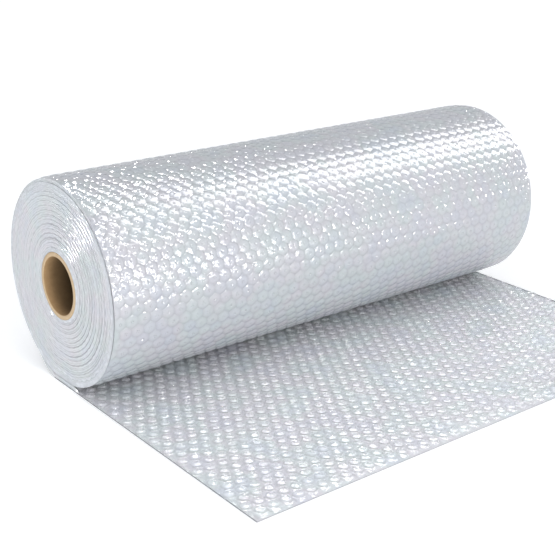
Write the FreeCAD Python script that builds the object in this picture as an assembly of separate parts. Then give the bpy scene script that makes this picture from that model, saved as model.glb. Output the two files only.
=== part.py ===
import FreeCAD, Part
import math
import os

# A roll of small-bubble film on a cardboard core. It lies on its side, with its free end unrolled on the floor.
# The film is one web, wound in half circles about two centres, so that each turn lies on the one before.
# X runs along the roll, the free end lies toward -Y, and the floor is Z = 0. Lengths are in millimetres.

# Core
core_bore_d = 50.8  # a two inch core
core_wall = 4.0
core_gap = 0.3  # between the core and the half turn that holds it

# Web
web_width = 500.0
web_t = 3.5  # over the bubbles, as wound
film_t = 0.8  # between the rows of bubbles
bubble_d = 9.5
bubble_gap = 2.0  # between neighbours in a row
row_valley = 0.5  # plain film between two rows, seen along them

# Winding
full_turns = 15  # after the half turn that lies on the core
wind_gap = 0.45  # between one turn and the next
pillow_h = 0.4  # how far the outer film bulges over a row of bubbles
flat_drop = 1.5  # how far the roll's weight flattens its underside

# Free end
tail_len = 276.0  # from under the roll's axis to the cut
cut_margin = 3.0  # plain film at the cut, at least

# What follows from the sizes above
core_r = core_bore_d / 2 + core_wall
wind_pitch = web_t + wind_gap
outer_r = core_r + core_gap + web_t + full_turns * wind_pitch
axis_z = outer_r - flat_drop
row_pitch = (bubble_d + bubble_gap) * math.sqrt(3) / 2
ridge_w = row_pitch - row_valley


def at(y, z):
    return FreeCAD.Vector(0, y, z)


def on_circle(radius, centre_z, angle):
    """A point on a turn. The angle starts straight down and runs by the back to the top."""
    return at(radius * math.sin(angle), centre_z - radius * math.cos(angle))


def line(start, end):
    return Part.LineSegment(start, end).toShape()


def arc(start, middle, end):
    return Part.Arc(start, middle, end).toShape()


def plain_arc(radius, centre_z, start, end):
    middle = (start + end) / 2
    return [arc(*(on_circle(radius, centre_z, angle) for angle in (start, middle, end)))]


def pillow_arcs(radius, centre_z, start, end):
    """The outer film: one shallow arc over each row of bubbles."""
    rows = round(radius * (end - start) / row_pitch)
    step = (end - start) / rows
    edges = []
    for row in range(rows):
        angle = start + row * step
        edges.append(
            arc(
                on_circle(radius, centre_z, angle),
                on_circle(radius + pillow_h, centre_z, angle + step / 2),
                on_circle(radius, centre_z, angle + step),
            )
        )
    return edges


def flat_angle(turn, radius):
    """Half the angle of a turn's flat underside. The outermost turn is flattened most, the last not at all."""
    drop = flat_drop * (1 - turn / full_turns)
    return math.acos(1 - drop / radius)


def wound_side(inset, outermost_arcs):
    """One face of the wound web, from the back of the flat underside inward to its start at the core."""
    front_z = axis_z + wind_pitch / 2
    edges = []
    for turn in range(full_turns + 1):
        make_arcs = outermost_arcs if turn == 0 else plain_arc
        back_r = outer_r - turn * wind_pitch - inset
        edges += make_arcs(back_r, axis_z, flat_angle(turn, back_r), math.pi)
        if turn == full_turns:
            break
        front_r = back_r - wind_pitch / 2
        front_flat = flat_angle(turn + 1, front_r)
        edges += make_arcs(front_r, front_z, math.pi, 2 * math.pi - front_flat)
        if turn + 1 < full_turns:
            next_r = back_r - wind_pitch
            start = on_circle(front_r, front_z, -front_flat)
            end = on_circle(next_r, axis_z, flat_angle(turn + 1, next_r))
            edges.append(line(start, end))
    return edges


def tail_top(first_y):
    """The bubble side of the free end: flat under the roll, then a ridge for each row, out to the cut."""
    rise = web_t - film_t
    ridge_r = (rise**2 + (ridge_w / 2) ** 2) / (2 * rise)
    ridge_z = web_t - ridge_r
    half_angle = math.asin(ridge_w / 2 / ridge_r)
    crest_y = -outer_r * math.sin(flat_angle(0, outer_r))
    valley_y = crest_y - ridge_w / 2
    shoulder = at(
        crest_y - ridge_r * math.sin(half_angle / 2),
        ridge_z + ridge_r * math.cos(half_angle / 2),
    )
    edges = [
        line(at(first_y, web_t), at(crest_y, web_t)),
        arc(at(crest_y, web_t), shoulder, at(valley_y, film_t)),
    ]
    rows = int((valley_y + tail_len - cut_margin) / row_pitch)
    for row in range(rows):
        foot_y = valley_y - row_valley
        edges.append(line(at(valley_y, film_t), at(foot_y, film_t)))
        valley_y = foot_y - ridge_w
        edges.append(arc(at(foot_y, film_t), at(foot_y - ridge_w / 2, web_t), at(valley_y, film_t)))
    edges.append(line(at(valley_y, film_t), at(-tail_len, film_t)))
    return edges


def bubble_film():
    outer_flat = outer_r * math.sin(flat_angle(0, outer_r))
    inner_r = outer_r - web_t
    inner_flat = inner_r * math.sin(flat_angle(0, inner_r))
    start_z = axis_z + core_r + core_gap
    edges = [line(at(-tail_len, 0), at(outer_flat, 0))]
    edges += wound_side(0, pillow_arcs)
    edges.append(line(at(0, start_z + web_t), at(0, start_z)))
    edges += reversed(wound_side(web_t, plain_arc))
    edges += tail_top(inner_flat)
    edges.append(line(at(-tail_len, film_t), at(-tail_len, 0)))
    section = Part.Face(Part.Wire(Part.__sortEdges__(edges)))
    section.translate(FreeCAD.Vector(-web_width / 2, 0, 0))
    return section.extrude(FreeCAD.Vector(web_width, 0, 0))


def core_tube():
    start = FreeCAD.Vector(-web_width / 2, 0, axis_z)
    along = FreeCAD.Vector(1, 0, 0)
    body = Part.makeCylinder(core_r, web_width, start, along)
    return body.cut(Part.makeCylinder(core_bore_d / 2, web_width, start, along))


def write_parts():
    """Puts the origin in the middle of the floor that the roll and its free end cover, and writes each piece."""
    pieces = {"core_tube": core_tube(), "bubble_film": bubble_film()}
    box = pieces["bubble_film"].BoundBox
    to_origin = FreeCAD.Vector(0, -(box.YMin + box.YMax) / 2, 0)
    os.makedirs("parts", exist_ok=True)
    for name, shape in pieces.items():
        shape.translate(to_origin)
        shape.exportStep(f"parts/{name}.step")
        print(name, "valid" if shape.isValid() else "not valid", "volume", round(shape.Volume), "mm3")
    print("roll diameter", round(2 * outer_r, 2), "axis height", round(axis_z, 2), "axis y", round(to_origin.y, 2))


write_parts()
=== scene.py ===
import math

import bpy
import numpy as np
from bpy.props import FloatProperty, FloatVectorProperty, IntProperty, PointerProperty
from mathutils import Matrix, Vector


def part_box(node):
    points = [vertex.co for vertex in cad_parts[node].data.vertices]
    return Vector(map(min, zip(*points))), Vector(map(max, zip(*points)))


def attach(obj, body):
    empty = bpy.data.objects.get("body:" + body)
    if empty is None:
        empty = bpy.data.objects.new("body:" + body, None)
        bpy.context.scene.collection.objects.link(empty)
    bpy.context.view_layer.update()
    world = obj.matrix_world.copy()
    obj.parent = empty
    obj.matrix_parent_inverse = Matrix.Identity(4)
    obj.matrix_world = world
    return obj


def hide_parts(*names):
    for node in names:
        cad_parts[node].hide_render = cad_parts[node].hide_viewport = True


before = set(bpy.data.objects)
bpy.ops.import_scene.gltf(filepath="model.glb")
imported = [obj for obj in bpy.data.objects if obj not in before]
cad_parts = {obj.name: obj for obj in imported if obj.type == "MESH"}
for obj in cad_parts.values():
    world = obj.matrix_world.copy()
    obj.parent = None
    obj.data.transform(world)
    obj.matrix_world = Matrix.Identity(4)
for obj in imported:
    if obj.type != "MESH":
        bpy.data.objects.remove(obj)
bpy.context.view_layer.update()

bl_info = {
    "name": "Bubble Film Roll",
    "version": (1, 0, 0),
    "blender": (4, 5, 0),
    "location": "View3D > Sidebar > Film Roll",
    "description": "A roll of small-bubble film on a card core, with its free end unrolled",
    "category": "Object",
}

MM = 0.001
CORE_LOW, CORE_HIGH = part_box("core_tube")
FILM_LOW, FILM_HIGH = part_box("bubble_film")
AXIS_Y = (CORE_LOW.y + CORE_HIGH.y) / 2
AXIS_Z = (CORE_LOW.z + CORE_HIGH.z) / 2
CORE_R = (CORE_HIGH.z - CORE_LOW.z) / 2
HALF_WIDTH = FILM_HIGH.x
CUT_Y = FILM_LOW.y
OUTER_FILM = ("outer_film_back", "outer_film_top", "outer_film_front")
SIDES = 18  # corners of a ring of a bubble, so that every third lies on a corner of its cell
JOIN_WITHIN = 2 * MM / 1000  # points nearer than about this are one
FREE_END_SEED, OUTER_FILM_SEED, EDGE_SEEDS = 7, 11, {-1: 3, 1: 4}

# Free end
CUT_MARGIN = 3.0 * MM  # plain film between the cut and the first row, at least
SIDE_EDGE = 0.25  # height of the cut edges at its sides, as a share of the film's thickness
FRONT_EDGE = 0.08  # and of the one at its front

# Outermost turn
ROW_LAP = 4.0 * MM  # how far the outer film's rows run past the turn's two ends
RELIEF_FADE = 4.0 * MM  # how near to the roll's ends the outer film loses its relief
ROW_LINE = 1.5 * MM  # how far from its row's middle line a cell's border starts to sink
ROW_SINK = 1.8 * MM  # and over how much more it sinks fully
SPARE_RISE = 0.1 * MM  # the most that the film stands out above its bulge

# Roll's ends
EDGE_STEP = 3.0 * MM  # how far the outermost turn's edge steps back from the roll's end
EDGE_DROP = 1.8 * MM  # how far it bends inward there
EDGE_REACH = 6.5 * MM  # how deep into the roll that fades
EDGE_START = 45.0 * MM  # how much of the outermost turn it takes to begin
EDGE_SPACING = 2.0 * MM  # between the points along a film's edge
EDGE_RAMP = 10.0 * MM  # how much of its length an edge takes to reach its full height, under the roll
FLUSH_RUN = 20.0 * MM  # how much of the second turn it takes to leave the outer film's edge
LIP_DEPTH = 1.2 * MM  # from the turns' edges to what closes the view between them
DEPTH_INSET = 4.0 * MM  # from the roll's outside to the rim of what closes it
CORE_SEAT = 5.0 * MM  # how far from the core that rises to be flush with it

# Core
CORE_WALL = 4.0 * MM
CORE_SIDES = 96
CARD_SOFT = 0.3 * MM  # how far its cut ends are softened
BORE_FADE = 34.0 * MM  # how far in the painted shade of the bore grows darker

# Stage
MIDDLE = Vector((0, 0.03, 0.1))  # what the lights face
FLOOR_REACH = 8.0
FLOOR_DROP = 0.2 * MM  # keeps the floor just under the film
STRIP_TOWARD, STRIP_DISTANCE, STRIP_SIZE = (0.63, -0.10, 0.75), 1.5, (1.2, 0.58)
FILL_TOWARD, FILL_DISTANCE, FILL_SIZE = (-0.32, -0.94, 0.1), 2.0, (1.6, 0.4)
SPARK_DISTANCE, SPARK_SIZE = 1.8, (0.15, 0.15)
CAMERA_PLACE = Vector((-0.67343, -0.73480, 0.44020))
CAMERA_YAW, CAMERA_PITCH, CAMERA_ROLL = math.radians(-38.585), math.radians(20.432), math.radians(0.692)

# Where the small lights are, as directions from the roll. They only give the film its glints.
ROLL_SPARKS = (  # on the roll's front
    (0.923, 0.0, 0.386),
    (0.950, -0.286, 0.126),
    (0.024, -0.489, 0.873),
    (0.0, -0.909, 0.417),
    (0.013, -1.0, 0.03),
    (0.288, -0.628, 0.724),
    (0.296, -0.917, 0.27),
    (0.996, 0.033, 0.08),
    (0.35, -0.936, 0.03),
)
TOP_SPARKS = (  # on its top
    (0.15, 0.61, 0.78),
    (0.25, 0.26, 0.93),
    (0.94, 0.30, 0.16),
)
FREE_END_SPARKS = (  # on the free end
    (0.28, 0.36, 0.89),
    (-0.02, 0.13, 0.99),
    (0.10, -0.20, 0.97),
    (-0.10, -0.45, 0.88),
    (-0.25, 0.45, 0.86),
    (0.45, -0.05, 0.89),
    (-0.30, -0.10, 0.95),
)
END_SPARKS = (  # on the roll's near end
    (-0.85, 0.45, 0.30),
    (-0.60, -0.02, 0.80),
    (-0.60, -0.22, 0.77),
)


def length(name, description, millimetres):
    return FloatProperty(
        name=name, description=description, default=millimetres * MM, subtype="DISTANCE", unit="LENGTH"
    )


def power(name, description, watts):
    return FloatProperty(name=name, description=description, default=watts, unit="POWER")


def colour(name, description, rgb):
    return FloatVectorProperty(
        name=name, description=description, default=rgb, size=3, subtype="COLOR", min=0, max=1
    )


class FilmSizes(bpy.types.PropertyGroup):
    """Sizes of the film as it is made and wound."""

    thickness: length("Thickness", "Over the bubbles, as wound", 3.5)
    turn_gap: length("Turn gap", "Between one turn and the next", 0.45)
    core_gap: length("Core gap", "Between the core and the first half turn", 0.3)
    full_turns: IntProperty(name="Turns", description="Full turns after the first half turn", default=15)
    flat_drop: length("Flat drop", "How far the roll's weight flattens its underside", 1.5)
    bubble_size: length("Bubble", "Across the foot of a bubble", 9.5)
    bubble_gap: length("Bubble gap", "Between neighbours in a row", 2.0)
    bulge: length("Bulge", "How far the outer film stands out over a bubble", 0.25)
    crease: length("Crease", "How deep the outer film lies between bubbles", 0.32)
    groove: length("Groove", "How much deeper it is drawn where three bubbles meet", 0.26)
    dimple: length("Dimple", "How deep the outer film puckers in the middle of a bubble, at most", 0.55)
    soft_edge: length("Soft edge", "How much of the width the outer turns round off over", 14)


class FilmColours(bpy.types.PropertyGroup):
    """Colours of the film."""

    clear: colour("Clear film", "The film on the roll", (0.435, 0.445, 0.465))
    milky: colour("Milky film", "The same film over the bubbles", (0.445, 0.455, 0.475))
    edge: colour("Film edges", "The films' edges at the ends of the roll", (0.58, 0.59, 0.61))
    valley: colour("Valleys", "The formed film of the free end between its bubbles", (0.78, 0.79, 0.81))
    bubble: colour("Bubbles", "The formed film of the free end over its bubbles", (0.86, 0.87, 0.89))
    backing: colour("Backing", "The flat film under the free end", (0.84, 0.85, 0.87))
    # The near-black of the cut edges is painted shade
    cut: colour("Cut edges", "The cut edges of the free end", (0.12, 0.125, 0.135))
    depth: colour("Depth", "What shows between the turns", (0.54, 0.56, 0.59))


class CoreColours(bpy.types.PropertyGroup):
    """Colours of the card core."""

    card: colour("Card", "The outer plies", (0.40, 0.26, 0.13))
    cut: colour("Cut card", "The cut ends of the plies", (0.62, 0.47, 0.305))
    bore: colour("Bore", "The inner ply at its mouth", (0.41, 0.265, 0.135))
    # Painted shade: the bore's colour darkens to this further in
    deep: colour("Deep bore", "The inner ply further in", (0.02, 0.01, 0.004))


class StageLook(bpy.types.PropertyGroup):
    """The floor, the lights and the camera."""

    floor: colour("Floor", "The pale floor", (0.95, 0.95, 0.95))
    world: FloatProperty(name="Surroundings", description="Brightness of the room", default=0.92)
    floor_glow: FloatProperty(name="Floor glow", description="What keeps the floor white", default=0.2)
    strip_power: power("Strip", "Long light to the right", 17)
    spark_power: power("Sparks", "Each small light on the roll's front", 7)
    top_spark_power: power("Top sparks", "Each small light on the roll's top", 14)
    front_spark_power: power("Front sparks", "Each small light on the free end", 42)
    end_spark_power: power("End sparks", "Each small light on the roll's near end", 95)
    fill_power: power("Fill", "Large light from the front", 26)
    lens: FloatProperty(name="Lens", description="Focal length", default=75.22, unit="CAMERA")


class WebPath:
    """The line of the film's outer face across the roll, from the cut of the free end to the core."""

    def __init__(self, sizes):
        self.pitch = sizes.thickness + sizes.turn_gap
        self.turns = sizes.full_turns
        self.drop = sizes.flat_drop
        self.outer_r = CORE_R + sizes.core_gap + sizes.thickness + self.turns * self.pitch
        self.flat_y = self.outer_r * math.sin(self.flat_angle(0, self.outer_r))
        # A line has its start and its end; an arc has its radius, its centre's height and its two angles
        self.runs = [("line", (CUT_Y, 0.0), (AXIS_Y + self.flat_y, 0.0))]
        front_z = AXIS_Z + self.pitch / 2
        for turn in range(self.turns + 1):
            back_r = self.outer_r - turn * self.pitch
            self.runs.append(("arc", back_r, AXIS_Z, self.flat_angle(turn, back_r), math.pi))
            if turn == self.turns:
                break
            front_r, next_r = back_r - self.pitch / 2, back_r - self.pitch
            front_flat = self.flat_angle(turn + 1, front_r)
            self.runs.append(("arc", front_r, front_z, math.pi, 2 * math.pi - front_flat))
            low = front_z - front_r * math.cos(front_flat)
            back_flat = self.flat_angle(turn + 1, next_r)
            start = (AXIS_Y - front_r * math.sin(front_flat), low)
            end = (AXIS_Y + next_r * math.sin(back_flat), low)
            self.runs.append(("line", start, end))
        lengths = [self.run_length(run) for run in self.runs]
        self.starts = np.concatenate([[0.0], np.cumsum(lengths)])

    def flat_angle(self, turn, radius):
        """Half the angle of a turn's flat underside. The outermost is flattened most, the last not at all."""
        drop = self.drop * (1 - turn / self.turns)
        return math.acos(1 - drop / radius)

    @staticmethod
    def run_length(run):
        if run[0] == "line":
            return run[2][0] - run[1][0]
        return run[1] * (run[4] - run[3])

    def place(self, x, s, inset):
        """Points of the film at x across it and s along it, set back from its outer face by inset."""
        x, s, inset = np.broadcast_arrays(x, s, inset)
        y, z = np.zeros(s.shape), np.zeros(s.shape)
        which = np.clip(np.searchsorted(self.starts, s, side="right") - 1, 0, len(self.runs) - 1)
        for index in np.unique(which):
            here = which == index
            run, along = self.runs[index], s[here] - self.starts[index]
            if run[0] == "line":
                y[here] = run[1][0] + along
                z[here] = run[1][1] + inset[here]
            else:
                _, radius, centre_z, start, _ = run
                angle = start + along / radius
                y[here] = AXIS_Y + (radius - inset[here]) * np.sin(angle)
                z[here] = centre_z - (radius - inset[here]) * np.cos(angle)
        return np.stack([x, y, z], axis=-1)


class Lattice:
    """Where the bubbles are on the web: rows across it, each one half a step aside from the last."""

    def __init__(self, sizes, path):
        wanted = sizes.bubble_size + sizes.bubble_gap
        self.half_steps = round(4 * HALF_WIDTH / wanted)
        self.step = 4 * HALF_WIDTH / self.half_steps
        self.row_step = self.step * math.sqrt(3) / 2
        self.radius = sizes.bubble_size / 2
        self.first_row = AXIS_Y - path.flat_y - CUT_Y

    def row_at(self, s):
        return (s - self.first_row) / self.row_step

    def cells(self, first, last):
        """Centres, row numbers and sides of these rows' cells. Side is -1 or 1 where an edge halves one."""
        columns = self.half_steps // 2
        near = self.step / 4
        xs, ss, rows, sides = [], [], [], []
        for row in range(first, last + 1):
            odd = row % 2
            for column in range(columns + 1):
                x = -HALF_WIDTH + (column if odd else column + 0.5) * self.step
                if x > HALF_WIDTH + near:
                    continue
                side = -1 if x < near - HALF_WIDTH else 1 if x > HALF_WIDTH - near else 0
                xs.append(x)
                ss.append(self.first_row + row * self.row_step)
                rows.append(row)
                sides.append(side)
        return np.array(xs), np.array(ss), np.array(rows), np.array(sides)

    def ring_angles(self):
        return math.radians(180 / SIDES) + np.arange(SIDES) * 2 * math.pi / SIDES

    def cell_radius(self, angles):
        """From a cell's middle to its border."""
        sixth = math.pi / 3
        return self.step / 2 / np.cos((angles + sixth / 2) % sixth - sixth / 2)


def make_object(name, points, faces, material, values=None, puckered=False):
    """A smooth mesh from points and faces, with points in one place joined into one."""
    keys = np.round(points / JOIN_WITHIN).astype(np.int64)
    _, first, inverse = np.unique(keys, axis=0, return_index=True, return_inverse=True)
    inverse = inverse.reshape(-1)
    mesh = bpy.data.meshes.new(name)
    faces = [tuple(dict.fromkeys(int(inverse[i]) for i in face)) for face in faces]
    mesh.from_pydata(points[first].tolist(), [], [face for face in faces if len(face) > 2])
    for key, value in (values or {}).items():
        layer = mesh.attributes.new(key, "FLOAT", "POINT")
        layer.data.foreach_set("value", value[first].astype(np.float32))
    mesh.validate()
    # The middle of a puckered bubble keeps the edges of its triangles
    smooth = [len(face.vertices) == 4 or not puckered for face in mesh.polygons]
    mesh.polygons.foreach_set("use_smooth", smooth)
    mesh.materials.append(material)
    thing = bpy.data.objects.new(name, mesh)
    bpy.context.scene.collection.objects.link(thing)
    return thing


def add_film(thing):
    """Hides the CAD film, which the pieces stand in for, and hangs a piece on the root body."""
    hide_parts("bubble_film")
    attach(thing, "root")


def cell_faces(count, rings, sides):
    """Faces of bubbles made of rings and a middle point. A bubble cut by the edge has only its inner half."""
    per_cell = rings * SIDES + 1
    quarter = (SIDES // 2 - 1) // 2
    right = [(k + SIDES - quarter - 1) % SIDES for k in range(SIDES // 2)]
    left = [(k + quarter) % SIDES for k in range(SIDES // 2)]
    faces = []
    for cell in range(count):
        start = cell * per_cell
        sectors = range(SIDES) if sides[cell] == 0 else right if sides[cell] < 0 else left
        for k in sectors:
            after = (k + 1) % SIDES
            for ring in range(rings - 1):
                a, b = start + ring * SIDES, start + (ring + 1) * SIDES
                faces.append((a + k, a + after, b + after, b + k))
            inner = start + (rings - 1) * SIDES
            faces.append((inner + k, inner + after, start + rings * SIDES))
    return faces


def rings_and_middle(rings, middle):
    """One flat list of values: for each cell its rings, from the border inward, and then its middle."""
    count = len(middle)
    spread = [np.broadcast_to(ring, (count, SIDES)) for ring in rings]
    return np.concatenate([np.stack(spread, axis=1).reshape(count, -1), middle[:, None]], axis=1).reshape(-1)


def puckers(random, count, angles):
    """The slack of each bubble's film, as waves round it: three to six of them, some stronger than others."""
    lobes = random.choice([3, 4, 4, 5, 6], (count, 1))
    turn = random.random((count, 1)) * 2 * math.pi
    return np.cos(lobes * angles + turn) * (0.4 + random.random((count, 1)))


def free_end_bubbles(sizes, path, lattice, material):
    """The formed film of the free end: a round dome for each bubble, with a little slack in its wall."""
    random = np.random.default_rng(FREE_END_SEED)
    nearest_cut = math.ceil(lattice.row_at(lattice.radius + CUT_MARGIN))
    xs, ss, rows, sides = lattice.cells(nearest_cut, 1)
    angles = lattice.ring_angles()
    border = lattice.cell_radius(angles)
    count, foot = len(xs), lattice.radius
    top = sizes.thickness * (1 - 0.15 * random.random(count) ** 2)
    top = np.where(sides == 0, top, top * 0.5)
    wave = puckers(random, count, angles)
    # The foot has painted shade only where the wave is high, so its darkened ring is a broken one
    foot_painted_shade = np.where(wave > 0.35, 0.8, 1.0)
    # From the cell's border inward: the reach, the height as a share of the dome's, the look and the slack
    profile = [(border, 0.14, 1.0, 0.0), (foot, 0.16, foot_painted_shade, 0.0), (foot * 0.90, 0.62, 0.55, 0.5),
               (foot * 0.68, 0.86, 0.5, 1.0), (foot * 0.27, 0.955, 0.3, 0.8)]
    x, s, h, cell = [], [], [], []
    for reach, rise, look, slack in profile:
        reach = reach * (1 + 0.045 * wave * slack)
        x.append(xs[:, None] + reach * np.cos(angles))
        s.append(ss[:, None] + reach * np.sin(angles))
        flat = np.full((count, SIDES), sizes.thickness * rise)
        dome = top[:, None] * rise * (1 + 0.06 * wave * slack)
        h.append(dome if slack else np.minimum(flat, top[:, None]))
        cell.append(look)
    # The film of the first row runs on to the cut
    low = (rows == nearest_cut)[:, None] & (np.sin(angles) < -0.4)[None, :]
    s[0] = np.where(low, 0.0, s[0])
    x = np.clip(rings_and_middle(x, xs), -HALF_WIDTH, HALF_WIDTH)
    s = np.maximum(rings_and_middle(s, ss), 0)
    middle = top * (0.97 - 0.22 * random.random(count))
    points = path.place(x, s, np.clip(rings_and_middle(h, middle), 0, sizes.thickness))
    values = {
        "cell": rings_and_middle(cell, np.zeros(count)),
        "tone": np.repeat(random.random(count), len(profile) * SIDES + 1),
    }
    faces = cell_faces(count, len(profile), sides)
    return make_object("free_end_bubbles", points, faces, material, values, puckered=True)


def end_rounding(s, inset, path):
    """The share of the roll's end rounding: none on the free end, and less and less into the roll."""
    share = np.clip((s - path.starts[1]) / EDGE_START, 0, 1)
    depth = np.interp(s, [path.starts[1], path.starts[-1]], [0, path.outer_r - CORE_R]) + inset
    return share * share * (3 - 2 * share) * np.exp(-depth / EDGE_REACH)


def outer_film(name, sizes, path, lattice, first, last, seed, material):
    """The film outside the outermost turn. It stands out over each bubble, with a pucker in the middle, and
    creases between the bubbles."""
    random = np.random.default_rng(seed)
    xs, ss, _, sides = lattice.cells(first, last)
    angles = lattice.ring_angles()
    border = lattice.cell_radius(angles)
    flat_side = border.min()
    count = len(xs)
    full = sizes.bulge * (0.6 + 0.4 * random.random(count))
    lean = random.normal(0, 0.02, (2, count, 1))
    wave = puckers(random, count, angles)
    # The film lies deepest where three bubbles meet, and least so midway between two bubbles of one row
    between_rows = np.clip((np.abs(border * np.sin(angles)) - ROW_LINE) / ROW_SINK, 0, 1)
    corner = np.where(border > flat_side * 1.1, 1.0, 0.0)
    relief = (sizes.bulge + sizes.crease) * (0.7 + 0.2 * between_rows)
    groove = sizes.groove * (0.1 + 0.1 * between_rows + 0.8 * corner)
    # The middle has painted shade in darker flecks where the wave is high
    middle_painted_shade = np.where(wave > 0.35, 0.8, 0.3)
    # From the cell's border inward: the reach, the look and how much the film is puckered there. The look of
    # 0.6 at the border paints a little shade into the creases.
    profile = [(border, 0.6, 0.0), (border * 0.93, 0.6, 0.03), (flat_side * 0.62, 0.55, 0.02),
               (flat_side * 0.36, 0.5, 0.05), (flat_side * 0.17, middle_painted_shade, 0.09)]
    x, s, out, cell = [], [], [], []
    for reach, look, puckered in profile:
        dx, ds = reach * np.cos(angles), reach * np.sin(angles)
        inside = 1 - (reach / border) ** 4
        stand = full[:, None] * inside + sizes.bulge * (1 - inside) - relief * (reach / flat_side) ** 2
        x.append(xs[:, None] + dx)
        s.append(ss[:, None] + ds)
        drawn = groove * np.clip((reach / border - 0.93) / 0.07, 0, 1)
        out.append(stand - drawn + inside * (lean[0] * dx + lean[1] * ds) + puckered * MM * wave)
        cell.append(look)
    x, s = rings_and_middle(x, xs), rings_and_middle(s, ss)
    dimple = sizes.dimple * (0.3 + 0.7 * random.random(count))
    out = np.minimum(rings_and_middle(out, full - dimple), sizes.bulge + SPARE_RISE)
    x = np.clip(x, -HALF_WIDTH, HALF_WIDTH)
    to_end = HALF_WIDTH - np.abs(x)
    out *= np.clip(to_end / RELIEF_FADE, 0, 1)
    from_end = np.clip(1 - to_end / sizes.soft_edge, 0, 1) ** 2 * end_rounding(s, 0.0, path)
    x -= np.sign(x) * from_end * EDGE_STEP
    points = path.place(x, s, from_end * EDGE_DROP - out)
    points[:, 2] = np.clip(points[:, 2], 0, FILM_HIGH.z)
    values = {
        "cell": rings_and_middle(cell, np.zeros(count)),
        "tone": np.repeat(random.random(count), len(profile) * SIDES + 1),
    }
    return make_object(name, points, cell_faces(count, len(profile), sides), material, values, puckered=True)


def grid_faces(rows, columns, start=0):
    faces = []
    for row in range(rows - 1):
        for column in range(columns - 1):
            a = start + row * columns + column
            faces.append((a, a + 1, a + columns + 1, a + columns))
    return faces


def free_end_backing(path, material):
    """The flat film under the free end and under the roll."""
    x = np.linspace(-HALF_WIDTH, HALF_WIDTH, 60)
    s = np.linspace(0, path.starts[1], 50)
    xx, ss = np.meshgrid(x, s)
    points = path.place(xx.ravel(), ss.ravel(), 0.0)
    values = {"cell": np.ones(points.shape[0]), "tone": np.full(points.shape[0], 0.5)}
    return make_object("free_end_backing", points, grid_faces(len(s), len(x)), material, values)


def free_end_edge(sizes, path, material):
    """The cut edges of the free end: the two films pressed together, seen from the side, drawn near black as
    painted shade.
    """
    high, low = sizes.thickness * SIDE_EDGE, sizes.thickness * FRONT_EDGE
    s = np.linspace(0, path.starts[1], 140)
    x = np.linspace(-HALF_WIDTH, HALF_WIDTH, 240)
    faces, points = [], []
    runs = (
        (np.full(s.shape, -HALF_WIDTH), s[::-1], high),
        (x, np.zeros(x.shape), low),
        (np.full(s.shape, HALF_WIDTH), s, high),
    )
    for run_x, run_s, height in runs:
        strip = np.stack([path.place(run_x, run_s, 0.0), path.place(run_x, run_s, height)], axis=1)
        faces += grid_faces(len(run_x), 2, sum(len(part) for part in points))
        points.append(strip.reshape(-1, 3))
    return make_object("free_end_edge", np.concatenate(points), faces, material)


def waves(s, lengths, random):
    """A gentle wander along the film, between -1 and 1."""
    total = sum(math.sqrt(wave) * np.sin(2 * math.pi * (s / wave + random.random())) for wave in lengths)
    return np.clip(total / sum(math.sqrt(wave) for wave in lengths) * 1.6, -1, 1)


def turn_edges(side, sizes, path, lattice, material):
    """The films' edges at one end of the roll, turn by turn: the backing film stands up as a fine lip, and
    inside it runs the wavy edge of the formed film. A hollow lies between, and another up to the
    next turn."""
    random = np.random.default_rng(EDGE_SEEDS[side])
    s = np.arange(path.starts[1] - 2 * path.flat_y - EDGE_RAMP, path.starts[-1], EDGE_SPACING)
    wander = 0.5 * (1 + waves(s, (0.9, 0.41, 0.23, 0.13, 0.04, 0.011), random))
    wander2 = 0.5 * (1 + waves(s, (0.5, 0.17, 0.06, 0.021, 0.008), random))
    swing = waves(s, (0.31, 0.12, 0.05), random)
    row_wave = np.cos(2 * math.pi * lattice.row_at(s) + 2 * swing)
    middle = 2.1 + 0.3 * row_wave + 0.3 * swing
    ones = np.ones(s.shape)
    # The outermost turn ends flush with the outer film
    within = 0.1 + 0.9 * np.clip((s - path.starts[3]) / FLUSH_RUN, 0, 1)
    # Each point of the section: how far it lies inside the turn's face, and how far back from the roll's end
    section = [
        (0.0 * ones, 1.1 * within - 0.11),
        (0.03 * ones, (0.05 + 0.45 * wander + 0.2 * (1 + row_wave)) * within),
        (0.42 * ones, (0.45 * wander + 0.2 * (1 + row_wave)) * within),
        (0.85 + 0.2 * swing, (0.55 + 0.35 * wander2) * (0.4 + 0.6 * within)),
        (middle - 0.35, (0.5 + 0.4 * wander) * (0.4 + 0.6 * within)),
        (middle, 0.15 + 0.4 * wander2 + 0.25 * (1 - row_wave)),
        (middle + 0.3, 0.2 + 0.4 * wander2 + 0.25 * (1 - row_wave)),
        (middle + 0.8, 0.45 + 0.45 * wander2),
        (4.05 * ones, 1.1 * ones),
    ]
    # The innermost turn has only the core inside it
    room = np.where(s > path.starts[-2], sizes.thickness + sizes.core_gap, 1.0)
    # The edges start out thin, under the roll
    under = np.clip((s - s[0]) / EDGE_RAMP, 0.06, 1)[:, None]
    inset = np.stack([part[0] for part in section], axis=1) * MM * under
    inset = np.minimum(inset, room[:, None])
    back = np.stack([part[1] for part in section], axis=1) * MM
    soft = end_rounding(s[:, None], inset, path)
    x = side * (HALF_WIDTH - back - EDGE_STEP * soft)
    points = path.place(x.ravel(), np.repeat(s, len(section)), (inset + EDGE_DROP * soft).ravel())
    # Cell values near 0.8 are painted shade: the film is drawn darker in the hollows between the lips and up
    # to the next turn
    values = {
        "cell": np.stack([ones, 0.2 * ones, 0.1 * ones, 0.4 + 0.4 * wander2, 0.8 - 0.3 * wander, 0.2 * ones,
                          0.2 * ones, 0.45 + 0.35 * wander, 0.8 * ones], axis=1).reshape(-1),
        "tone": np.repeat(0.5 + 0.5 * swing, len(section)),
    }
    name = "turn_edges_near" if side < 0 else "turn_edges_far"
    return make_object(name, points, grid_faces(len(s), len(section)), material, values)


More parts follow.
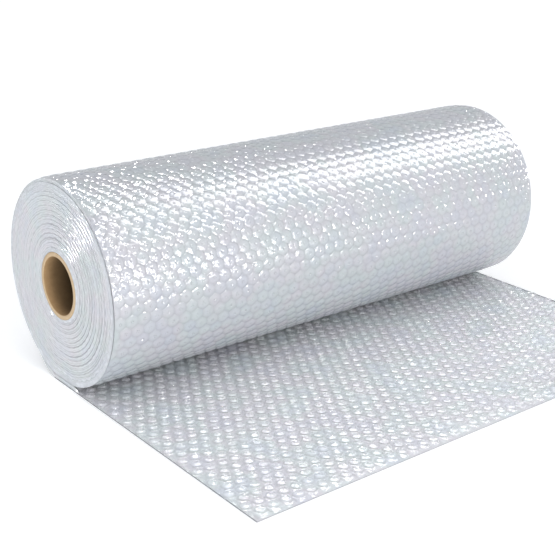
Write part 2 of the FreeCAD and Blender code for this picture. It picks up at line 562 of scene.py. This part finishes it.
def turn_depth(side, path, material):
    """What closes the view between the turns, a little way in."""
    name = "turn_depth_near" if side < 0 else "turn_depth_far"
    angles = np.linspace(0, 2 * math.pi, 97)
    radii = np.linspace(CORE_R + 0.1 * MM, path.outer_r - DEPTH_INSET, 24)
    rr, aa = np.meshgrid(radii, angles, indexing="ij")
    y = AXIS_Y + rr * np.sin(aa)
    z = np.maximum(AXIS_Z + rr * np.cos(aa), 0.5 * MM)
    back = LIP_DEPTH * np.clip(0.15 + (rr - CORE_R) / CORE_SEAT, 0, 1)
    points = np.stack([side * (HALF_WIDTH - back), y, z], axis=-1).reshape(-1, 3)
    return make_object(name, points, grid_faces(len(radii), len(angles)), material)


def core_tube(material):
    """The card tube, with its cut ends a little softened."""
    bore, soft = CORE_R - CORE_WALL, CARD_SOFT
    inner_x = HALF_WIDTH - soft
    profile = [(-inner_x, CORE_R), (-HALF_WIDTH, CORE_R - soft), (-HALF_WIDTH, bore + soft), (-inner_x, bore)]
    profile += [(x, bore) for x in np.linspace(-inner_x, inner_x, 60)[1:-1]]
    profile += [(inner_x, bore), (HALF_WIDTH, bore + soft), (HALF_WIDTH, CORE_R - soft), (inner_x, CORE_R)]
    profile += [(x, CORE_R) for x in np.linspace(inner_x, -inner_x, 40)[1:-1]]
    count = CORE_SIDES
    angles = np.arange(count) * 2 * math.pi / count
    points = []
    for x, radius in profile:
        y, z = AXIS_Y + radius * np.sin(angles), AXIS_Z + radius * np.cos(angles)
        points.append(np.stack([np.full(count, x), y, z], axis=1))
    faces = []
    for ring in range(len(profile)):
        here, after = ring * count, (ring + 1) % len(profile) * count
        for k in range(count):
            beside = (k + 1) % count
            faces.append((here + k, here + beside, after + beside, after + k))
    return make_object("core_tube_card", np.concatenate(points), faces, material)


class Nodes:
    """A short way to put a material's nodes together."""

    def __init__(self, name):
        self.material = bpy.data.materials.new(name)
        self.material.use_nodes = True
        self.tree = self.material.node_tree
        self.shader = self.tree.nodes["Principled BSDF"]

    def add(self, kind, **settings):
        node = self.tree.nodes.new(kind)
        for key, value in settings.items():
            if key.startswith("in_"):
                name = key[3:].replace("_", " ")
                node.inputs[int(name) if name.isdigit() else name].default_value = value
            else:
                setattr(node, key, value)
        return node

    def link(self, start, end):
        self.tree.links.new(start, end)

    def ramp(self, source, stops):
        node = self.add("ShaderNodeValToRGB")
        elements = node.color_ramp.elements
        while len(elements) < len(stops):
            elements.new(0.5)
        for element, (position, rgb) in zip(elements, stops):
            element.position = position
            element.color = (*rgb, 1)
        self.link(source, node.inputs["Fac"])
        return node.outputs["Color"]

    def mix(self, factor, a, b, blend="MIX"):
        node = self.add("ShaderNodeMix", data_type="RGBA", blend_type=blend)
        for socket, value in ((node.inputs["Factor"], factor), (node.inputs[6], a), (node.inputs[7], b)):
            if isinstance(value, bpy.types.NodeSocket):
                self.link(value, socket)
            else:
                socket.default_value = value if isinstance(value, float) else (*value, 1)
        return node.outputs[2]


def film_material(name, clear, milky, alpha=1.0, painted_shade=1.0):
    """Glossy film. Its colour follows the bubbles: milky on top and clear at the sides, with painted shade
    where the cell value nears 0.8: at the foot of a bubble, in creases and flecks, in hollows.
    """
    nodes = Nodes(name)
    cell = nodes.add("ShaderNodeAttribute", attribute_name="cell").outputs["Fac"]
    tone = nodes.add("ShaderNodeAttribute", attribute_name="tone").outputs["Fac"]
    place = nodes.add("ShaderNodeTexCoord").outputs["Object"]
    # The stop at 0.8 is painted shade: the clear colour darkened by the painted shade factor
    base = nodes.ramp(cell, [(0.0, milky), (0.55, clear), (0.8, [c * painted_shade for c in clear]), (1.0, clear)])
    bluish, pinkish, greenish, white = (0.94, 0.97, 1.0), (1.0, 0.97, 0.985), (0.97, 1.0, 0.985), (1, 1, 1)
    tint = nodes.ramp(tone, [(0.0, bluish), (0.35, pinkish), (0.7, greenish), (1.0, white)])
    base = nodes.mix(0.6, base, tint, "MULTIPLY")
    haze = nodes.add("ShaderNodeTexNoise", in_Scale=26.0, in_Detail=2.0)
    nodes.link(place, haze.inputs["Vector"])
    stops = [
        (0.34, (0.94, 0.97, 1.0)),
        (0.44, (0.96, 1.0, 0.98)),
        (0.54, (1.0, 0.975, 0.985)),
        (0.64, (0.97, 0.965, 1.0)),
    ]
    shade = nodes.ramp(haze.outputs["Fac"], stops)
    nodes.link(nodes.mix(1.0, base, shade, "MULTIPLY"), nodes.shader.inputs["Base Color"])
    fine = nodes.add("ShaderNodeTexNoise", in_Scale=420.0, in_Detail=2.0)
    nodes.link(place, fine.inputs["Vector"])
    rough = nodes.add("ShaderNodeMapRange", in_From_Min=0.3, in_From_Max=0.7, in_To_Min=0.08, in_To_Max=0.2)
    nodes.link(fine.outputs["Fac"], rough.inputs["Value"])
    nodes.link(rough.outputs["Result"], nodes.shader.inputs["Roughness"])
    bump = nodes.add("ShaderNodeBump", in_Strength=0.25, in_Distance=0.0004)
    nodes.link(fine.outputs["Fac"], bump.inputs["Height"])
    nodes.link(bump.outputs["Normal"], nodes.shader.inputs["Normal"])
    nodes.shader.inputs["IOR"].default_value = 1.6
    nodes.shader.inputs["Alpha"].default_value = alpha
    return nodes.material


def depth_material(colours):
    """The milky inside of the roll, seen between its turns."""
    nodes = Nodes("film_depth")
    place = nodes.add("ShaderNodeTexCoord").outputs["Object"]
    noise = nodes.add("ShaderNodeTexNoise", in_Scale=160.0, in_Detail=4.0)
    nodes.link(place, noise.inputs["Vector"])
    stops = [(0.3, [c * 0.85 for c in colours.depth]), (0.7, [min(1, c * 1.15) for c in colours.depth])]
    nodes.link(nodes.ramp(noise.outputs["Fac"], stops), nodes.shader.inputs["Base Color"])
    nodes.shader.inputs["Roughness"].default_value = 0.5
    return nodes.material


def card_material(colours):
    """Kraft card: fine fibres, plies at the cut ends and a bore with painted shade that grows darker inward.
    """
    nodes = Nodes("core_card")
    place = nodes.add("ShaderNodeTexCoord").outputs["Object"]
    fibres = nodes.add("ShaderNodeTexNoise", in_Scale=260.0, in_Detail=5.0, in_Roughness=0.7)
    nodes.link(place, fibres.inputs["Vector"])
    offset = nodes.add("ShaderNodeVectorMath", operation="SUBTRACT")
    offset.inputs[1].default_value = (0, AXIS_Y, AXIS_Z)
    nodes.link(place, offset.inputs[0])
    across = nodes.add("ShaderNodeVectorMath", operation="MULTIPLY")
    across.inputs[1].default_value = (0, 1, 1)
    nodes.link(offset.outputs[0], across.inputs[0])
    radius = nodes.add("ShaderNodeVectorMath", operation="LENGTH")
    nodes.link(across.outputs[0], radius.inputs[0])
    where = nodes.add("ShaderNodeMapRange", in_From_Min=CORE_R - CORE_WALL, in_From_Max=CORE_R)
    nodes.link(radius.outputs["Value"], where.inputs["Value"])
    part = nodes.add("ShaderNodeSeparateXYZ")
    nodes.link(place, part.inputs[0])
    from_middle = nodes.add("ShaderNodeMath", operation="ABSOLUTE")
    nodes.link(part.outputs["X"], from_middle.inputs[0])
    depth = nodes.add("ShaderNodeMapRange", in_From_Min=HALF_WIDTH - BORE_FADE, in_From_Max=HALF_WIDTH)
    nodes.link(from_middle.outputs[0], depth.inputs["Value"])
    # The bore's colour is painted shade, from its mouth colour to near black further in
    bore_painted_shade = [(0.0, colours.deep), (0.65, [c * 0.45 for c in colours.bore]), (1.0, colours.bore)]
    bore = nodes.ramp(depth.outputs["Result"], bore_painted_shade)
    plies = nodes.ramp(where.outputs["Result"], [(0.88, colours.cut), (1.0, colours.card)])
    at_bore = nodes.add("ShaderNodeMapRange", in_From_Min=0.02, in_From_Max=0.12)
    nodes.link(where.outputs["Result"], at_bore.inputs["Value"])
    base = nodes.mix(at_bore.outputs["Result"], bore, plies)
    grain = nodes.ramp(fibres.outputs["Fac"], [(0.25, (0.82, 0.8, 0.78)), (0.75, (1, 1, 1))])
    nodes.link(nodes.mix(1.0, base, grain, "MULTIPLY"), nodes.shader.inputs["Base Color"])
    nodes.shader.inputs["Roughness"].default_value = 0.85
    nodes.shader.inputs["Specular IOR Level"].default_value = 0.2
    bump = nodes.add("ShaderNodeBump", in_Strength=0.3, in_Distance=0.0003)
    nodes.link(fibres.outputs["Fac"], bump.inputs["Height"])
    nodes.link(bump.outputs["Normal"], nodes.shader.inputs["Normal"])
    return nodes.material


def film_plan(scene):
    """What the film's operators work from: its sizes, its colours, its path and its lattice."""
    sizes = scene.film_sizes
    path = WebPath(sizes)
    return sizes, scene.film_colours, path, Lattice(sizes, path)


class FILMROLL_OT_free_end(bpy.types.Operator):
    """Makes the free end of the film: its bubbles, the flat film under them and its cut edges"""

    bl_idname = "filmroll.free_end"
    bl_label = "Free end"

    def execute(self, context):
        sizes, colours, path, lattice = film_plan(context.scene)
        # Painted shade darkens the foot of each dome to under a third of its colour
        formed = film_material("formed_film", colours.valley, colours.bubble, alpha=0.32, painted_shade=0.3)
        backing = film_material("backing_film", colours.backing, colours.backing)
        # The cut edges are drawn near black: painted shade along the free end's sides and front
        cut = film_material("cut_edge_painted_shade", colours.cut, colours.cut)
        add_film(free_end_bubbles(sizes, path, lattice, formed))
        add_film(free_end_backing(path, backing))
        add_film(free_end_edge(sizes, path, cut))
        return {"FINISHED"}


class FILMROLL_OT_outer_turn(bpy.types.Operator):
    """Makes the film outside the roll, in three lengths: behind, over the top and in front"""

    bl_idname = "filmroll.outer_turn"
    bl_label = "Outer turn"

    def execute(self, context):
        sizes, colours, path, lattice = film_plan(context.scene)
        # Painted shade darkens the flecks in the middle of a bubble and, a little, the creases
        material = film_material("outer_film", colours.clear, colours.milky, painted_shade=0.6)
        row = math.floor(lattice.row_at(path.starts[1] - ROW_LAP))
        last = math.floor(lattice.row_at(path.starts[3] + ROW_LAP))
        share = math.ceil((last - row + 1) / len(OUTER_FILM))
        for index, name in enumerate(OUTER_FILM):
            end = min(row + share - 1, last)
            add_film(outer_film(name, sizes, path, lattice, row, end, OUTER_FILM_SEED + index, material))
            row = end + 1
        return {"FINISHED"}


class FILMROLL_OT_turn_edges(bpy.types.Operator):
    """Makes the films' edges at both ends of the roll, and what shows between them"""

    bl_idname = "filmroll.turn_edges"
    bl_label = "Turn edges"

    def execute(self, context):
        sizes, colours, path, lattice = film_plan(context.scene)
        # The edge film's painted shade darkens its hollows
        edge = film_material("turn_edge_film", colours.edge, colours.edge, painted_shade=0.68)
        depth = depth_material(colours)
        for side in (-1, 1):
            add_film(turn_edges(side, sizes, path, lattice, edge))
            add_film(turn_depth(side, path, depth))
        return {"FINISHED"}


class FILMROLL_OT_core(bpy.types.Operator):
    """Makes the card core"""

    bl_idname = "filmroll.core"
    bl_label = "Core"

    def execute(self, context):
        tube = core_tube(card_material(context.scene.core_colours))
        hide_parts("core_tube")
        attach(tube, "root")
        return {"FINISHED"}


def area_light(name, toward, distance, size, watts, across=(0, 0, 1)):
    """A soft light that faces the roll's middle. Its long side lies at right angles to the way across."""
    light = bpy.data.lights.new(name, "AREA")
    light.shape = "RECTANGLE"
    light.size, light.size_y = size
    light.energy = watts
    lamp = bpy.data.objects.new(name, light)
    away = Vector(toward).normalized()
    lamp.location = MIDDLE + away * distance
    side = Vector(across).cross(away).normalized()
    along = away.cross(side)
    lamp.rotation_euler = Matrix((side, along, away)).transposed().to_euler()
    bpy.context.scene.collection.objects.link(lamp)
    return lamp


def sparks(name, places, watts, pieces):
    """Small lights that shine on some pieces only, and only where those are glossy."""
    lit = bpy.data.collections.new(name)
    for piece in pieces:
        lit.objects.link(bpy.data.objects[piece])
    for index, toward in enumerate(places):
        lamp = area_light(f"{name}_{index + 1}", toward, SPARK_DISTANCE, SPARK_SIZE, watts)
        lamp.visible_diffuse = False
        lamp.light_linking.receiver_collection = lit


def make_camera(lens):
    back = Vector((
        math.sin(CAMERA_YAW) * math.cos(CAMERA_PITCH),
        -math.cos(CAMERA_YAW) * math.cos(CAMERA_PITCH),
        math.sin(CAMERA_PITCH),
    ))
    level = Vector((0, 0, 1)).cross(back).normalized()
    upright = back.cross(level)
    right = math.cos(CAMERA_ROLL) * level + math.sin(CAMERA_ROLL) * upright
    up = back.cross(right)
    data = bpy.data.cameras.new("camera")
    data.lens, data.sensor_width = lens, 36
    camera = bpy.data.objects.new("camera", data)
    camera.matrix_world = Matrix.Translation(CAMERA_PLACE) @ Matrix((right, up, back)).transposed().to_4x4()
    bpy.context.scene.collection.objects.link(camera)
    bpy.context.scene.camera = camera


def floor_material(rgb, glow):
    nodes = Nodes("floor")
    place = nodes.add("ShaderNodeTexCoord").outputs["Object"]
    noise = nodes.add("ShaderNodeTexNoise", in_Scale=3.0, in_Detail=2.0)
    nodes.link(place, noise.inputs["Vector"])
    shades = [(0.0, [c * 0.995 for c in rgb]), (1.0, rgb)]
    nodes.link(nodes.ramp(noise.outputs["Fac"], shades), nodes.shader.inputs["Base Color"])
    nodes.shader.inputs["Roughness"].default_value = 0.9
    nodes.shader.inputs["Specular IOR Level"].default_value = 0.1
    nodes.shader.inputs["Emission Color"].default_value = (1, 1, 1, 1)
    nodes.shader.inputs["Emission Strength"].default_value = glow
    return nodes.material


class FILMROLL_OT_stage(bpy.types.Operator):
    """Makes the pale floor, the soft lights and the camera"""

    bl_idname = "filmroll.stage"
    bl_label = "Stage"

    def execute(self, context):
        look, scene = context.scene.stage_look, context.scene
        corners = [(x * FLOOR_REACH, y * FLOOR_REACH, 0) for x, y in ((-1, -1), (1, -1), (1, 1), (-1, 1))]
        mesh = bpy.data.meshes.new("floor")
        mesh.from_pydata(corners, [], [(0, 1, 2, 3)])
        mesh.materials.append(floor_material(look.floor, look.floor_glow))
        floor = bpy.data.objects.new("floor", mesh)
        floor.location.z = -FLOOR_DROP
        scene.collection.objects.link(floor)
        strip = area_light(
            "strip_light", STRIP_TOWARD, STRIP_DISTANCE, STRIP_SIZE, look.strip_power, across=(0, 1, 0)
        )
        strip.visible_diffuse = False
        fill = area_light("fill_light", FILL_TOWARD, FILL_DISTANCE, FILL_SIZE, look.fill_power)
        fill.visible_glossy = False
        sparks("roll_spark", ROLL_SPARKS, look.spark_power, OUTER_FILM)
        sparks("top_spark", TOP_SPARKS, look.top_spark_power, OUTER_FILM)
        sparks("front_spark", FREE_END_SPARKS, look.front_spark_power, ["free_end_bubbles"])
        sparks("end_spark", END_SPARKS, look.end_spark_power, ["turn_edges_near"])
        world = bpy.data.worlds.new("room")
        world.use_nodes = True
        world.node_tree.nodes["Background"].inputs["Color"].default_value = (0.95, 0.97, 1, 1)
        world.node_tree.nodes["Background"].inputs["Strength"].default_value = look.world
        scene.world = world
        scene.view_settings.view_transform = "Standard"
        make_camera(look.lens)
        return {"FINISHED"}


class FILMROLL_PT_panel(bpy.types.Panel):
    """Sizes, colours and steps of the roll"""

    bl_label = "Film roll"
    bl_idname = "FILMROLL_PT_panel"
    bl_space_type = "VIEW_3D"
    bl_region_type = "UI"
    bl_category = "Film Roll"

    def draw(self, context):
        for group in GROUPS:
            box = self.layout.box()
            settings = getattr(context.scene, group)
            for name in settings.bl_rna.properties.keys():
                if name not in ("rna_type", "name"):
                    box.prop(settings, name)
        for operator in OPERATORS:
            self.layout.operator(operator.bl_idname)


GROUPS = {
    "film_sizes": FilmSizes,
    "film_colours": FilmColours,
    "core_colours": CoreColours,
    "stage_look": StageLook,
}
OPERATORS = (
    FILMROLL_OT_core,
    FILMROLL_OT_free_end,
    FILMROLL_OT_outer_turn,
    FILMROLL_OT_turn_edges,
    FILMROLL_OT_stage,
)


def register():
    for cls in (*GROUPS.values(), *OPERATORS, FILMROLL_PT_panel):
        bpy.utils.register_class(cls)
    for name, group in GROUPS.items():
        setattr(bpy.types.Scene, name, PointerProperty(type=group))


def unregister():
    for name in GROUPS:
        delattr(bpy.types.Scene, name)
    for cls in (FILMROLL_PT_panel, *OPERATORS, *GROUPS.values()):
        bpy.utils.unregister_class(cls)


def main():
    register()
    bpy.ops.filmroll.core()
    bpy.ops.filmroll.free_end()
    bpy.ops.filmroll.outer_turn()
    bpy.ops.filmroll.turn_edges()
    bpy.ops.filmroll.stage()


if __name__ == "__main__":
    main()
